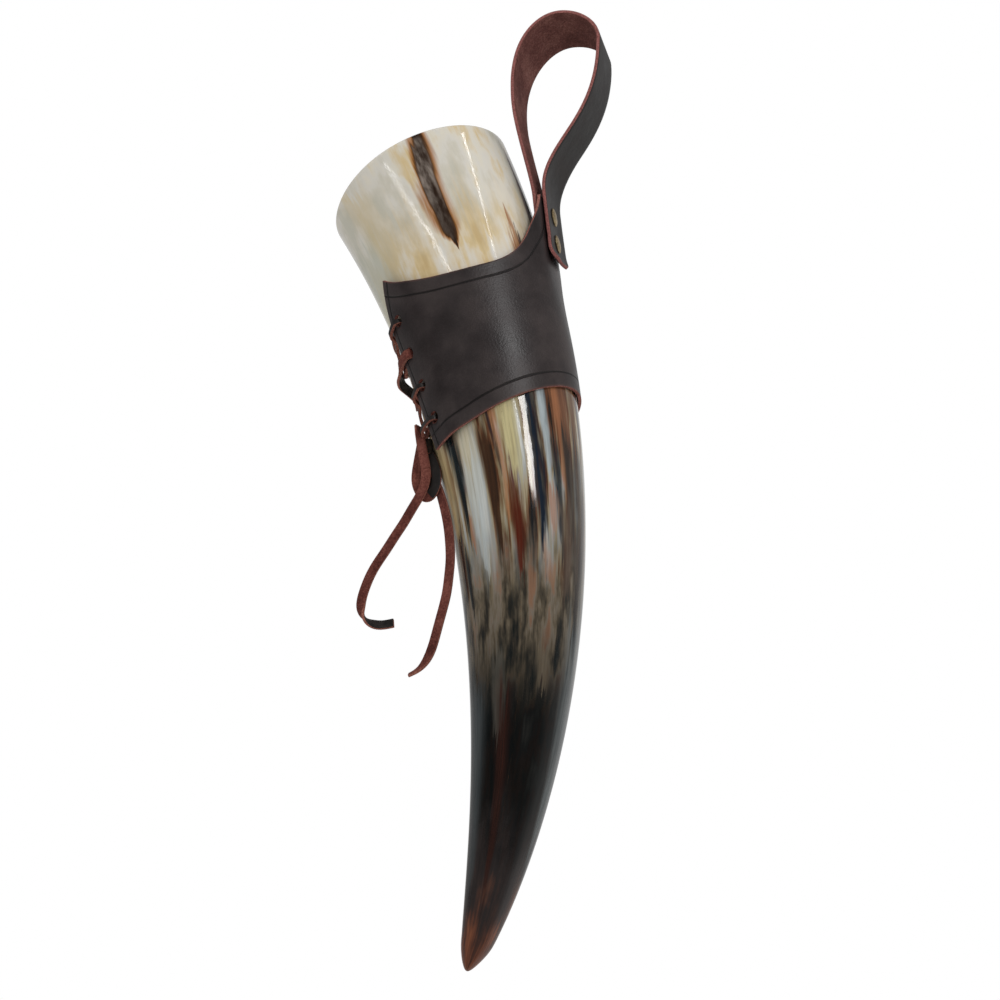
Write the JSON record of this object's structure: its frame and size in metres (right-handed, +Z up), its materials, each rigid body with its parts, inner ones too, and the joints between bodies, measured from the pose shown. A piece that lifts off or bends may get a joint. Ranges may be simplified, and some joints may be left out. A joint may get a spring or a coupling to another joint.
{
  "type": "drinking horn",
  "caption": "Polished curved drinking horn, hollow from its mouth, carried in a laced dark leather sleeve with a riveted belt loop and a knotted lace with free tails.",
  "frame": {"origin": "inside top of the belt loop, midway across the strap, where the belt carries the part", "axes": "+Z up as it hangs, +X from the lacing towards the belt side, Y along the belt; the horn bends in the XZ plane"},
  "size_m": [0.121, 0.0826, 0.4128],
  "materials": {
    "horn": "polished natural horn, pale at the mouth and dark at the tip",
    "sleeve_leather": "dark brown grain, semi-matte",
    "strap_leather": "dark brown grain outside, red-brown flesh side inside",
    "lace_leather": "flat thong, dark grain side and red-brown suede side",
    "rivet_brass": "antique brass"
  },
  "bodies": {
    "holster": {"holster_sleeve": "sleeve_leather", "belt_strap": "strap_leather", "upper_rivet_post": "rivet_brass", "upper_rivet_cap": "rivet_brass", "lower_rivet_post": "rivet_brass", "lower_rivet_cap": "rivet_brass", "lacing": "lace_leather", "lace_knot": "lace_leather", "lace_tail_left": "lace_leather", "lace_tail_right": "lace_leather"},
    "horn": {"drinking_horn": "horn"}
  },
  "joints": [
    {"name": "horn_draw", "type": "hinge", "parent": "holster", "child": "horn", "pos_m": [-0.48331, 0, -0.27096], "axis": [0, -1, 0], "range_deg": [0, 38]}
  ]
}
